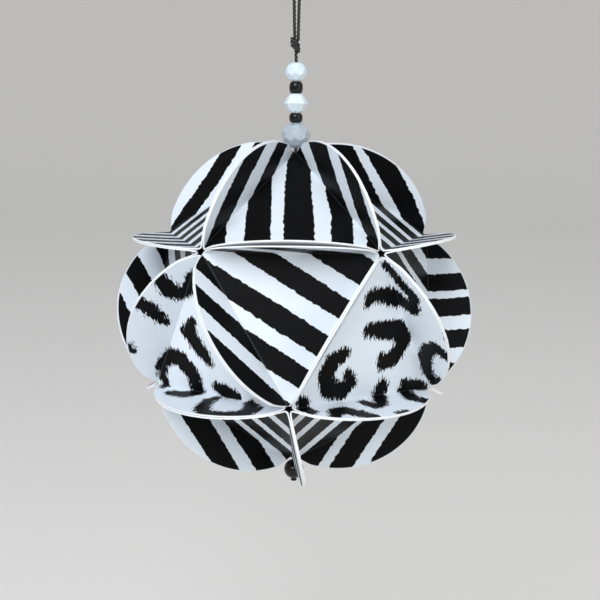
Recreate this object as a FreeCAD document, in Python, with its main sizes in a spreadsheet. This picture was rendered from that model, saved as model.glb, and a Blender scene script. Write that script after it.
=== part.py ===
"""Kusudama paper ball, in millimetres: twenty folded card circles on a beaded hanging cord.

Each circle of printed card is creased on its inscribed triangle, and its three round flaps
stand up. Neighbouring circles are glued back to back by those flaps, so the triangles make an
icosahedron and the flaps make thirty round fins along its edges. A cord with a stopper bead
runs up through the ball and through five beads, and ends in a knotted hanging loop.
The origin is where a hook bears inside the top of the loop, and +Z is up.
"""
import FreeCAD, Part
import math
import os

import Sketcher

Vector = FreeCAD.Vector

# Driving sizes. The circle is a standard 2 1/4 inch craft punch.
SIZES = {
    "circle_diameter": 57.15,
    "card_thickness": 0.4,
    "crease_relief_deg": 12.0,
    "vertex_hole_diameter": 2.0,
    "cord_diameter": 1.0,
    "bead_hole_diameter": 1.3,
    "seat_clearance": 0.1,
    "large_bead_width": 8.0,
    "large_bead_height": 7.4,
    "lower_black_bead_height": 2.8,
    "middle_bead_width": 6.7,
    "middle_bead_height": 5.6,
    "upper_black_bead_height": 3.5,
    "black_bead_width": 4.0,
    "black_bead_chamfer": 0.75,
    "top_bead_width": 6.1,
    "top_bead_height": 5.5,
    "stopper_bead_diameter": 6.0,
    "cord_end_width": 2.0,
    "cord_end_height": 0.9,
    "knot_lead": 2.4,
    "knot_height": 4.7,
    "knot_width": 3.1,
    "loop_height": 45.0,
}

# How far each glued fin leans off its upright plane, in degrees, as the card has sprung.
# A fin leans towards its edge direction (first end to second end) crossed with its outward one.
CROWN_LEANS = [14, 24, 10, 15, -16]  # top vertex to each upper vertex
SHOULDER_LEANS = [22, 16, 12, 29, 15]  # each upper vertex to the next
RIGHT_BELT_LEANS = [23, -2, 6, -8, 9]  # upper vertex k to lower vertex k
LEFT_BELT_LEANS = [14, 5, -7, -19, 15]  # upper vertex k to lower vertex k + 1
HEM_LEANS = [-22, -3, -12, -5, -22]  # each lower vertex to the next
FOOT_LEANS = [-14, -12, 6, -8, -15]  # each lower vertex to the bottom vertex

# The icosahedron's constants.
GOLDEN = (1 + math.sqrt(5)) / 2
UPPER_Z = 1 / math.sqrt(5)  # height of the upper ring of vertices, for a circumradius of 1
RING_RADIUS = 2 / math.sqrt(5)
STEP_DEG = 72
HALF_DIHEDRAL_DEG = math.degrees(math.acos(-math.sqrt(5) / 3)) / 2
INRADIUS_SHARE = GOLDEN**2 / 4  # inradius over circle diameter
CIRCUMRADIUS_SHARE = math.sqrt(3 * GOLDEN * math.sqrt(5)) / 4  # circumradius over circle diameter
CORNER_TILT_DEG = math.degrees(math.atan(2 / GOLDEN**2))  # vertex axis off the face normal
CREASE_DIRECTIONS_DEG = [150, 270, 30]  # crease k lies between triangle corners k and k + 1
FIN_RISE_DEG = 61.7  # a fin's round edge off the vertex axis, where the beads seat

BEAD_SIDES = 8
HOOK_RADIUS = 3.0  # radius of the bend at the top of the hanging loop

doc = FreeCAD.newDocument("kusudama_paper_ball")
sheet = doc.addObject("Spreadsheet::Sheet", "Sizes")
for row, (alias, size) in enumerate(SIZES.items(), start=1):
    sheet.set(f"A{row}", alias)
    sheet.set(f"B{row}", str(size))
    sheet.setAlias(f"B{row}", alias)
doc.recompute()

# Heights down the cord, as expressions of the sheet. Each starts from the one above it.
KNOT_TOP = "(Sizes.cord_diameter / 2 - Sizes.loop_height)"
KNOT_BOTTOM = f"({KNOT_TOP} - Sizes.knot_height)"
TOP_BEAD_TOP = f"({KNOT_BOTTOM} - Sizes.knot_lead)"
UPPER_BLACK_TOP = f"({TOP_BEAD_TOP} - Sizes.top_bead_height)"
MIDDLE_BEAD_TOP = f"({UPPER_BLACK_TOP} - Sizes.upper_black_bead_height)"
LOWER_BLACK_TOP = f"({MIDDLE_BEAD_TOP} - Sizes.middle_bead_height)"
LARGE_BEAD_TOP = f"({LOWER_BLACK_TOP} - Sizes.lower_black_bead_height)"
LARGE_BEAD_MIDDLE = f"({LARGE_BEAD_TOP} - Sizes.large_bead_height / 2)"
TOP_VERTEX = (
    f"({LARGE_BEAD_MIDDLE} - Sizes.large_bead_width / 2 / sin({FIN_RISE_DEG} deg)"
    " - Sizes.seat_clearance)"
)
BALL_CENTRE = f"({TOP_VERTEX} - Sizes.circle_diameter * {CIRCUMRADIUS_SHARE})"
BOTTOM_VERTEX = f"({BALL_CENTRE} - Sizes.circle_diameter * {CIRCUMRADIUS_SHARE})"
STOPPER_MIDDLE = (
    f"({BOTTOM_VERTEX} - Sizes.stopper_bead_diameter / 2 / sin({FIN_RISE_DEG} deg)"
    " - Sizes.seat_clearance)"
)
CORD_END_MIDDLE = (
    f"({STOPPER_MIDDLE} - Sizes.stopper_bead_diameter / 2 - Sizes.cord_end_height / 2)"
)


def value_of(expression):
    """The number that an expression of the sheet gives now."""
    return float(sheet.evalExpression(expression))


def bind(feature, bindings):
    """Binds properties of a feature to expressions of the sheet."""
    for path, expression in bindings.items():
        feature.setExpression(path, expression)


def body_sketch(body, name, offset=None):
    """A sketch on the body's own XY plane, moved off it by a placement expression."""
    sketch = body.newObject("Sketcher::SketchObject", name)
    plane = next(f for f in body.Origin.OriginFeatures if f.Role == "XY_Plane")
    sketch.AttachmentSupport = [(plane, "")]
    sketch.MapMode = "FlatFace"
    if offset:
        sketch.setExpression("AttachmentOffset", offset)
    return sketch


def placement_expression(x, y, z, yaw, roll):
    """A placement as an expression: a point, a turn about Z, then a turn about the new X."""
    return (
        f"create(<<placement>>; create(<<vector>>; {x}; {y}; {z});"
        f" create(<<rotation>>; {yaw}; 0; {roll}))"
    )


def draw_triangle(sketch):
    """The equilateral triangle inscribed in the card circle, with one corner at the top."""
    radius = value_of("Sizes.circle_diameter / 2")
    centre = Vector(0, 0, 0)
    corners = [
        Vector(radius * math.cos(math.radians(a)), radius * math.sin(math.radians(a)), 0)
        for a in (90, 210, 330)
    ]
    sketch.addGeometry(Part.Circle(centre, Vector(0, 0, 1), radius), True)
    sides = [
        sketch.addGeometry(Part.LineSegment(corners[k], corners[(k + 1) % 3]), False)
        for k in range(3)
    ]
    sketch.addConstraint(Sketcher.Constraint("Coincident", 0, 3, -1, 1))
    diameter = sketch.addConstraint(Sketcher.Constraint("Diameter", 0, 2 * radius))
    sketch.setExpression(f"Constraints[{diameter}]", "Sizes.circle_diameter")
    for k in range(3):
        sketch.addConstraint(Sketcher.Constraint("Coincident", sides[k], 2, sides[(k + 1) % 3], 1))
        sketch.addConstraint(Sketcher.Constraint("PointOnObject", sides[k], 1, 0))
    sketch.addConstraint(Sketcher.Constraint("Equal", sides[0], sides[1]))
    sketch.addConstraint(Sketcher.Constraint("Equal", sides[1], sides[2]))
    sketch.addConstraint(Sketcher.Constraint("Horizontal", sides[1]))


def draw_flap(sketch):
    """The round segment of the card circle that lies outside one crease, on the X axis."""
    radius = value_of("Sizes.circle_diameter / 2")
    circle = Part.Circle(Vector(0, -radius / 2, 0), Vector(0, 0, 1), radius)
    arc = sketch.addGeometry(
        Part.ArcOfCircle(circle, math.radians(30), math.radians(150)), False
    )
    half_crease = radius * math.cos(math.radians(30))
    crease = sketch.addGeometry(
        Part.LineSegment(Vector(-half_crease, 0, 0), Vector(half_crease, 0, 0)), False
    )
    sketch.addConstraint(Sketcher.Constraint("Coincident", arc, 2, crease, 1))
    sketch.addConstraint(Sketcher.Constraint("Coincident", crease, 2, arc, 1))
    sketch.addConstraint(Sketcher.Constraint("PointOnObject", arc, 3, -2))
    sketch.addConstraint(Sketcher.Constraint("PointOnObject", arc, 1, -1))
    sketch.addConstraint(Sketcher.Constraint("PointOnObject", arc, 2, -1))
    size = sketch.addConstraint(Sketcher.Constraint("Diameter", arc, 2 * radius))
    sketch.setExpression(f"Constraints[{size}]", "Sizes.circle_diameter")
    drop = sketch.addConstraint(Sketcher.Constraint("DistanceY", arc, 3, -1, 1, radius / 2))
    sketch.setExpression(f"Constraints[{drop}]", "Sizes.circle_diameter / 4")


def draw_hole(sketch, diameter_name):
    """A circle about the sketch's origin, its diameter bound to one of the sizes."""
    size = value_of(f"Sizes.{diameter_name}")
    hole = sketch.addGeometry(Part.Circle(Vector(0, 0, 0), Vector(0, 0, 1), size / 2), False)
    sketch.addConstraint(Sketcher.Constraint("Coincident", hole, 3, -1, 1))
    diameter = sketch.addConstraint(Sketcher.Constraint("Diameter", hole, size))
    sketch.setExpression(f"Constraints[{diameter}]", f"Sizes.{diameter_name}")


def draw_nip(sketch):
    """A hexagon about the sketch's origin, as wide across its flats as the vertex hole."""
    reach = value_of("Sizes.vertex_hole_diameter / 2 / cos(30 deg)")
    points = [
        Vector(reach * math.cos(math.radians(a)), reach * math.sin(math.radians(a)), 0)
        for a in range(0, 360, 60)
    ]
    rim = sketch.addGeometry(Part.Circle(Vector(0, 0, 0), Vector(0, 0, 1), reach), True)
    sides = [
        sketch.addGeometry(Part.LineSegment(points[k], points[(k + 1) % 6]), False)
        for k in range(6)
    ]
    sketch.addConstraint(Sketcher.Constraint("Coincident", rim, 3, -1, 1))
    for k in range(6):
        sketch.addConstraint(Sketcher.Constraint("Coincident", sides[k], 2, sides[(k + 1) % 6], 1))
        sketch.addConstraint(Sketcher.Constraint("PointOnObject", sides[k], 1, rim))
    for k in range(5):
        sketch.addConstraint(Sketcher.Constraint("Equal", sides[k], sides[k + 1]))
    sketch.addConstraint(Sketcher.Constraint("PointOnObject", sides[0], 1, -1))
    diameter = sketch.addConstraint(Sketcher.Constraint("Diameter", rim, 2 * reach))
    sketch.setExpression(f"Constraints[{diameter}]", "Sizes.vertex_hole_diameter / cos(30 deg)")


def pad(body, sketch, name, length):
    """A pad of a sketch along its normal, its length an expression of the sheet."""
    feature = body.newObject("PartDesign::Pad", name)
    feature.Profile = sketch
    feature.setExpression("Length", length)
    sketch.Visibility = False
    return feature


def card_circle(label, corners, folds_deg):
    """One card circle with its three flaps folded up, set on a face of the icosahedron.

    The corners are unit vectors, counter-clockwise from outside, and fold k is the angle
    that the flap between corners k and k + 1 turns up from the flat.
    """
    body = doc.addObject("PartDesign::Body", label)
    body.Label = label
    face = body_sketch(body, f"{label}_triangle")
    draw_triangle(face)
    flat = pad(body, face, f"{label}_face", "Sizes.card_thickness")
    # the triangle's edge is cut back so that it stays behind a flap that folds past upright
    flat.setExpression("TaperAngle", "-Sizes.crease_relief_deg")
    for k, (direction, fold) in enumerate(zip(CREASE_DIRECTIONS_DEG, folds_deg), start=1):
        offset = placement_expression(
            f"Sizes.circle_diameter / 4 * cos({direction} deg)",
            f"Sizes.circle_diameter / 4 * sin({direction} deg)",
            0,
            direction - 90,
            fold,
        )
        segment = body_sketch(body, f"{label}_segment_{k}", offset)
        draw_flap(segment)
        pad(body, segment, f"{label}_flap_{k}", "Sizes.card_thickness")
    corner = body_sketch(
        body,
        f"{label}_corner",
        placement_expression(0, "Sizes.circle_diameter / 2", 0, 0, -CORNER_TILT_DEG),
    )
    draw_nip(corner)
    doc.recompute()
    nip = body.newObject("PartDesign::Pocket", f"{label}_nip")
    nip.Profile = corner
    nip.Midplane = True
    nip.setExpression("Length", "4 * Sizes.vertex_hole_diameter")
    nips = body.newObject("PartDesign::PolarPattern", f"{label}_nips")
    nips.Originals = [nip]
    axis = next(f for f in body.Origin.OriginFeatures if f.Role == "Z_Axis")
    nips.Axis = (axis, [""])
    nips.Angle = 360
    nips.Occurrences = 3
    body.Tip = nips
    normal = (corners[0] + corners[1] + corners[2]).normalize()
    up = (corners[0] - normal * corners[0].dot(normal)).normalize()
    body.Placement = FreeCAD.Placement(
        Vector(0, 0, 0), FreeCAD.Rotation(up.cross(normal), up, normal, "ZXY")
    )
    inradius = f"Sizes.circle_diameter * {INRADIUS_SHARE}"
    bind(
        body,
        {
            "Placement.Base.x": f"{inradius} * {normal.x:.9f}",
            "Placement.Base.y": f"{inradius} * {normal.y:.9f}",
            "Placement.Base.z": f"{inradius} * {normal.z:.9f} + {BALL_CENTRE}",
        },
    )
    return body


def fold_of(leans, start, end, opposite, vertices):
    """The fold angle of the flap on the edge from start to end, for the face with opposite."""
    first, second = (start, end) if (start, end) in leans else (end, start)
    lean = leans[(first, second)]
    along = vertices[second] - vertices[first]
    outward = vertices[first] + vertices[second]
    side = along.cross(outward)
    away = outward * 0.5 - vertices[opposite]
    return HALF_DIHEDRAL_DEG - lean if side.dot(away) > 0 else HALF_DIHEDRAL_DEG + lean


def ball():
    """The twenty card circles. Upper vertex k stands at 36 + 72 (k - 1) degrees from the front."""
    vertices = {"T": Vector(0, 0, 1), "B": Vector(0, 0, -1)}
    for k in range(5):
        for ring, turn, height in (("U", 36, UPPER_Z), ("L", 0, -UPPER_Z)):
            angle = math.radians(turn + STEP_DEG * k)
            vertices[f"{ring}{k}"] = Vector(
                RING_RADIUS * math.sin(angle), -RING_RADIUS * math.cos(angle), height
            )
    leans = {}
    faces = {}
    for k in range(5):
        after = (k + 1) % 5
        leans[("T", f"U{k}")] = CROWN_LEANS[k]
        leans[(f"U{k}", f"U{after}")] = SHOULDER_LEANS[k]
        leans[(f"U{k}", f"L{k}")] = RIGHT_BELT_LEANS[k]
        leans[(f"U{k}", f"L{after}")] = LEFT_BELT_LEANS[k]
        leans[(f"L{k}", f"L{after}")] = HEM_LEANS[k]
        leans[(f"L{k}", "B")] = FOOT_LEANS[k]
        faces[f"crown_circle_{k + 1}"] = ("T", f"U{k}", f"U{after}")
        faces[f"shoulder_circle_{k + 1}"] = (f"L{after}", f"U{after}", f"U{k}")
        faces[f"belly_circle_{k + 1}"] = (f"U{k}", f"L{k}", f"L{after}")
        faces[f"foot_circle_{k + 1}"] = ("B", f"L{after}", f"L{k}")
    circles = []
    for label, names in faces.items():
        folds = [
            fold_of(leans, names[k], names[(k + 1) % 3], names[(k + 2) % 3], vertices)
            for k in range(3)
        ]
        circles.append(card_circle(label, [vertices[n] for n in names], folds))
    return circles


def thread_hole(name, height, middle):
    """The drill for a bead's thread hole, centred on the bead, with room past both ends."""
    drill = doc.addObject("Part::Cylinder", name)
    bind(
        drill,
        {
            "Radius": "Sizes.bead_hole_diameter / 2",
            "Height": f"2 * {height}",
            "Placement.Base.z": f"{middle} - {height}",
        },
    )
    return drill


def facet_slab(name, width, middle, tilt_deg, reach, turn_deg):
    """A slab through a bead's middle: its two broad faces are a pair of opposite facets.

    The facets touch a sphere of reach times the bead's half width, at tilt_deg up and down.
    """
    slab = doc.addObject("Part::Box", name)
    turn = FreeCAD.Rotation(Vector(0, 0, 1), turn_deg)
    tilt = FreeCAD.Rotation(Vector(0, -1, 0), tilt_deg)
    slab.Placement = FreeCAD.Placement(Vector(0, 0, 0), turn * tilt)
    corner = (turn * tilt).multVec(Vector(-reach / 2, -1, -1))
    bind(
        slab,
        {
            "Length": f"{reach} * {width}",
            "Width": f"2 * {width}",
            "Height": f"2 * {width}",
            "Placement.Base.x": f"{corner.x:.9f} * {width}",
            "Placement.Base.y": f"{corner.y:.9f} * {width}",
            "Placement.Base.z": f"{corner.z:.9f} * {width} + {middle}",
        },
    )
    return slab


def faceted_bead(label, size, middle, rings):
    """A moulded bead whose round form is cut to flat facets, with its thread hole.

    Each ring is (tilt of its facets, reach of its facets, turn about the bead's axis). A slab
    gives one facet of a ring above and one below, or both upright facets where the tilt is 0.
    """
    width, height = f"Sizes.{size}_width", f"Sizes.{size}_height"
    step = 360 / BEAD_SIDES
    ends = doc.addObject("Part::Cylinder", f"{label}_ends")
    bind(
        ends,
        {"Radius": width, "Height": height, "Placement.Base.z": f"{middle} - {height} / 2"},
    )
    shapes = [ends]
    for ring, (tilt, reach, turn) in enumerate(rings, start=1):
        for k in range(BEAD_SIDES if tilt else BEAD_SIDES // 2):
            name = f"{label}_ring_{ring}_{k + 1}"
            azimuth = turn + step * (k + 0.5)
            shapes.append(facet_slab(name, width, middle, tilt, reach, azimuth))
    form = doc.addObject("Part::MultiCommon", f"{label}_form")
    form.Shapes = shapes
    bead = doc.addObject("Part::Cut", label)
    bead.Base = form
    bead.Tool = thread_hole(f"{label}_drill", height, middle)
    return bead


def black_bead(label, height, top):
    """A short tube bead with its ends cut back all round."""
    body = doc.addObject("PartDesign::Body", label)
    section = body_sketch(body, f"{label}_section")
    draw_hole(section, "black_bead_width")
    draw_hole(section, "bead_hole_diameter")
    tube = pad(body, section, f"{label}_tube", f"Sizes.{height}")
    doc.recompute()
    outside = value_of("Sizes.black_bead_width / 2")
    rims = [
        f"Edge{k}"
        for k, edge in enumerate(tube.Shape.Edges, start=1)
        if hasattr(edge.Curve, "Radius") and abs(edge.Curve.Radius - outside) < 1e-6
    ]
    cut_back = body.newObject("PartDesign::Chamfer", f"{label}_chamfer")
    cut_back.Base = (tube, rims)
    cut_back.setExpression("Size", "Sizes.black_bead_chamfer")
    body.Tip = cut_back
    body.setExpression("Placement.Base.z", f"{top} - Sizes.{height}")
    return body


def stopper_bead(label):
    """The round bead below the ball, which carries its weight on the cord."""
    ball_form = doc.addObject("Part::Sphere", f"{label}_form")
    bind(
        ball_form,
        {"Radius": "Sizes.stopper_bead_diameter / 2", "Placement.Base.z": STOPPER_MIDDLE},
    )
    bead = doc.addObject("Part::Cut", label)
    bead.Base = ball_form
    bead.Tool = thread_hole(f"{label}_drill", "Sizes.stopper_bead_diameter", STOPPER_MIDDLE)
    return bead


def inner_cord(label):
    """The stretch of cord inside the ball and the beads, with its melted end as a button."""
    strand = doc.addObject("Part::Cylinder", f"{label}_strand")
    bind(
        strand,
        {
            "Radius": "Sizes.cord_diameter / 2",
            "Height": f"{TOP_BEAD_TOP} - {CORD_END_MIDDLE}",
            "Placement.Base.z": CORD_END_MIDDLE,
        },
    )
    button = doc.addObject("Part::Ellipsoid", f"{label}_button")
    bind(
        button,
        {
            "Radius1": "Sizes.cord_end_height / 2",
            "Radius2": "Sizes.cord_end_width / 2",
            "Radius3": "Sizes.cord_end_width / 2",
            "Placement.Base.z": CORD_END_MIDDLE,
        },
    )
    cord = doc.addObject("Part::Fuse", label)
    cord.Base = strand
    cord.Tool = button
    return cord


def loop_route():
    """The free cord's points: up from the top bead, through the knot, round the loop and back."""
    strand = value_of("Sizes.cord_diameter")
    side = 0.55 * strand
    knot_top = value_of(KNOT_TOP)
    rise = value_of("Sizes.loop_height") / SIZES["loop_height"]
    climb = [
        (side, 0.0),
        (1.3 * side, 14.0),
        (4.0 * side, 33.0),
        (HOOK_RADIUS, 42.0),
        (0.55 * HOOK_RADIUS, 45.0),
    ]
    up = [Vector(-x, 0, knot_top + z * rise) for x, z in climb]
    down = [Vector(x, 0, knot_top + z * rise) for x, z in reversed(climb)]
    start = [
        Vector(0, 0, value_of(TOP_BEAD_TOP)),
        Vector(0, 0, value_of(f"{KNOT_BOTTOM} + 0.2 * Sizes.knot_height")),
    ]
    end = [Vector(side, 0, value_of(f"{KNOT_TOP} - 0.2 * Sizes.knot_height"))]
    return start + up + down[:-1] + end


def rounded_path(points):
    """Straight runs through the points, with a tangent arc at each, as one wire."""
    edges, radii = [], []
    at = points[0]
    for before, corner, after in zip(points, points[1:], points[2:]):
        back, ahead = before - corner, after - corner
        turn = math.pi - back.getAngle(ahead)
        trim = 0.45 * min(back.Length, ahead.Length)
        radius = trim / math.tan(turn / 2)
        enter = corner + back.normalize() * trim
        leave = corner + ahead.normalize() * trim
        to_centre = (back + ahead).normalize()
        middle = corner + to_centre * (radius / math.cos(turn / 2) - radius)
        edges.append(Part.LineSegment(at, enter).toShape())
        edges.append(Part.Arc(enter, middle, leave).toShape())
        radii.append(radius)
        at = leave
    edges.append(Part.LineSegment(at, points[-1]).toShape())
    print("cord radii, mm:", [round(r, 1) for r in radii])
    return Part.Wire(edges)


def hanging_loop(label):
    """The free cord above the top bead, as a plain tube."""
    route = rounded_path(loop_route())
    radius = value_of("Sizes.cord_diameter / 2")
    start = route.Edges[0].firstVertex().Point
    ring = Part.Wire([Part.makeCircle(radius, start, Vector(0, 0, 1))])
    tube = route.makePipeShell([ring], True, True, 0)
    print("cord length, mm:", round(route.Length, 1))
    print("tube volume over section times length:", tube.Volume / (math.pi * radius**2 * route.Length))
    feature = doc.addObject("Part::Feature", label)
    feature.Shape = tube
    return feature


def loop_knot(label, cord):
    """The overhand knot's outer form, closed round the strands that pass through it."""
    form = doc.addObject("Part::Ellipsoid", f"{label}_form")
    bind(
        form,
        {
            "Radius1": "Sizes.knot_height / 2",
            "Radius2": "Sizes.knot_width / 2",
            "Radius3": "0.85 * Sizes.knot_width / 2",
            "Placement.Base.z": f"{KNOT_BOTTOM} + Sizes.knot_height / 2",
        },
    )
    knot = doc.addObject("Part::Cut", label)
    knot.Base = form
    knot.Tool = cord
    return knot


nodes = ball()
nodes += [
    faceted_bead(
        "large_frosted_bead",
        "large_bead",
        LARGE_BEAD_MIDDLE,
        [(0, 0.98, 0), (34, 0.965, 180 / BEAD_SIDES), (62, 0.95, 0)],
    ),
    black_bead("lower_black_bead", "lower_black_bead_height", LOWER_BLACK_TOP),
    faceted_bead(
        "middle_frosted_bead",
        "middle_bead",
        f"({MIDDLE_BEAD_TOP} - Sizes.middle_bead_height / 2)",
        [(28, 0.875, 0), (50, 0.93, 180 / BEAD_SIDES)],
    ),
    black_bead("upper_black_bead", "upper_black_bead_height", UPPER_BLACK_TOP),
    faceted_bead(
        "top_frosted_bead",
        "top_bead",
        f"({TOP_BEAD_TOP} - Sizes.top_bead_height / 2)",
        [(0, 0.98, 0), (32, 0.96, 180 / BEAD_SIDES), (58, 0.97, 0)],
    ),
    stopper_bead("stopper_bead"),
    inner_cord("inner_cord"),
]
loop = hanging_loop("hanging_loop")
nodes += [loop, loop_knot("loop_knot", loop)]
doc.recompute()

for item in doc.Objects:
    if "Invalid" in item.State or "Error" in item.State:
        raise RuntimeError(f"{item.Name} failed: {item.State}")
os.makedirs("parts", exist_ok=True)
for node in nodes:
    shape = node.Shape
    if shape.isNull() or not shape.isValid() or not shape.Solids:
        raise RuntimeError(f"{node.Label} has no valid solid")
    shape.exportStep(f"parts/{node.Label}.step")
print(len(nodes), "nodes written")
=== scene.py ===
"""Looks of the kusudama paper ball: twenty folded card circles, its beads and its twisted cord.

Lengths inside the classes are in millimetres; MM turns them to metres where a mesh is made.
"""

import logging
import math
import random
from dataclasses import dataclass, field
from enum import Enum

import bpy
import numpy as np
from mathutils import Matrix, Vector

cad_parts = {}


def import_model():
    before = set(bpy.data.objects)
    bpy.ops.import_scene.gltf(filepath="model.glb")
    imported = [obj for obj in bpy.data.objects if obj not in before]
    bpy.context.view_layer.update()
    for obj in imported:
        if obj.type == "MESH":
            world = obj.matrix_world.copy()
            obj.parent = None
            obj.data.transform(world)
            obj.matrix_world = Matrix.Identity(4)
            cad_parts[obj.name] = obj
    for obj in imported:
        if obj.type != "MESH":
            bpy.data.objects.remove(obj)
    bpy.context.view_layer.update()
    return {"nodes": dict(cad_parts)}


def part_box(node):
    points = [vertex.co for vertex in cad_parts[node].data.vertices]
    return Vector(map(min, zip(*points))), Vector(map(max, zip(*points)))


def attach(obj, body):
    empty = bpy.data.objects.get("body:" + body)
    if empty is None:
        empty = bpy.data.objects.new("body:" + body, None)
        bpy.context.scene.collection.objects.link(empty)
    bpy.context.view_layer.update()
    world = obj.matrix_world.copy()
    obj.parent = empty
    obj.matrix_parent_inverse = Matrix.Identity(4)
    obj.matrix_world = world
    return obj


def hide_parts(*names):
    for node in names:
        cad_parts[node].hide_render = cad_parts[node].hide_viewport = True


LOG = logging.getLogger("paper_ball")
MM = 0.001
GOLDEN = (1 + math.sqrt(5)) / 2
PUNCH_RADIUS = 57.15 / 2
ROOT = "root"

# One mark of a print is a chain of (x, y, half width) in the flat circle, in millimetres.
Mark = tuple[tuple[float, float, float], ...]


def linear(hex_colour: str) -> tuple[float, float, float, float]:
    """Turn an sRGB hex colour into the linear colour that a shader socket takes.

    Args:
        hex_colour: six hex digits, such as "e8eef2".

    Returns:
        Red, green and blue in linear light, and an alpha of 1.
    """
    parts = [int(hex_colour[i : i + 2], 16) / 255 for i in (0, 2, 4)]
    red, green, blue = (c / 12.92 if c <= 0.04045 else ((c + 0.055) / 1.055) ** 2.4 for c in parts)
    return red, green, blue, 1.0


def add_node(
    material: bpy.types.Material, kind: str, settings: dict | None = None, links: dict | None = None
) -> bpy.types.Node:
    """Add one shader node with its settings and its links.

    Args:
        material: the material whose tree gets the node.
        kind: the node's type name, after the words that all of them start with.
        settings: attribute names or input names with their values.
        links: input names or numbers with the output socket that feeds each.

    Returns:
        The new node.
    """
    node = material.node_tree.nodes.new(f"ShaderNode{kind}")
    for key, value in (settings or {}).items():
        if hasattr(node, str(key)):
            setattr(node, key, value)
        else:
            node.inputs[key].default_value = value
    for key, socket in (links or {}).items():
        material.node_tree.links.new(socket, node.inputs[key])
    return node


def new_material(name: str) -> tuple[bpy.types.Material, bpy.types.Node]:
    """Start a node material.

    Args:
        name: the material's name.

    Returns:
        The material and its main shader node.
    """
    material = bpy.data.materials.new(name)
    material.use_nodes = True
    return material, material.node_tree.nodes["Principled BSDF"]


def link(
    material: bpy.types.Material, source: bpy.types.NodeSocket, shader: bpy.types.Node, name: str
) -> None:
    """Feed one input of a shader from a socket."""
    material.node_tree.links.new(source, shader.inputs[name])


def deselect() -> None:
    """Leave edit mode and deselect everything."""
    if bpy.context.object and bpy.context.object.mode != "OBJECT":
        bpy.ops.object.mode_set(mode="OBJECT")
    bpy.ops.object.select_all(action="DESELECT")


def activate(piece: bpy.types.Object) -> None:
    """Make one object the only selected one and the active one."""
    deselect()
    piece.select_set(True)
    bpy.context.view_layer.objects.active = piece


def apply_modifier(piece: bpy.types.Object, kind: str, **settings: object) -> None:
    """Add a modifier with its settings and apply it at once.

    Args:
        piece: the object that it shapes.
        kind: the modifier's type, such as "SOLIDIFY".
        settings: the modifier's attributes.
    """
    activate(piece)
    modifier = piece.modifiers.new(kind.lower(), kind)
    for key, value in settings.items():
        setattr(modifier, key, value)
    bpy.ops.object.modifier_apply(modifier=modifier.name)


def smooth(piece: bpy.types.Object, angle_deg: float) -> None:
    """Shade a piece smooth, apart from edges sharper than an angle."""
    activate(piece)
    bpy.ops.object.shade_smooth_by_angle(angle=math.radians(angle_deg))


def mesh_piece(name: str, verts: np.ndarray, faces: list[tuple[int, ...]]) -> bpy.types.Object:
    """Make an object at the origin from points in millimetres.

    Args:
        name: the piece's name.
        verts: one row for each vertex.
        faces: the vertex numbers of each face.

    Returns:
        The new object.
    """
    mesh = bpy.data.meshes.new(name)
    mesh.from_pydata((verts * MM).tolist(), [], faces)
    mesh.validate()
    piece = bpy.data.objects.new(name, mesh)
    bpy.context.scene.collection.objects.link(piece)
    return piece


def grain(
    material: bpy.types.Material,
    shader: bpy.types.Node,
    scale: float,
    detail: float,
    colours: tuple[str, str],
    relief: tuple[float, float] | None = None,
    gloss: tuple[float, float] | None = None,
    distortion: float = 0.0,
) -> None:
    """Give a plain finish its fine grain.

    Args:
        material: the finish.
        shader: its main shader node.
        scale: how many grains there are to a metre.
        detail: how many finer layers the grain has.
        colours: the two sRGB hex colours that it runs between.
        relief: strength and depth in metres of the grain's bump, if it has any.
        gloss: the two roughness values that it runs between, if it changes.
        distortion: how much the grain is swirled.
    """
    place = add_node(material, "TexCoord").outputs["Object"]
    settings = {"Scale": scale, "Detail": detail, "Distortion": distortion}
    noise = add_node(material, "TexNoise", settings, {"Vector": place}).outputs["Fac"]
    ends = {"data_type": "RGBA", 6: linear(colours[0]), 7: linear(colours[1])}
    link(material, add_node(material, "Mix", ends, {0: noise}).outputs[2], shader, "Base Color")
    if relief:
        depth = {"Strength": relief[0], "Distance": relief[1]}
        bump = add_node(material, "Bump", depth, {"Height": noise})
        link(material, bump.outputs["Normal"], shader, "Normal")
    if gloss:
        ends = {"To Min": gloss[0], "To Max": gloss[1]}
        satin = add_node(material, "MapRange", ends, {"Value": noise})
        link(material, satin.outputs["Result"], shader, "Roughness")


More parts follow.
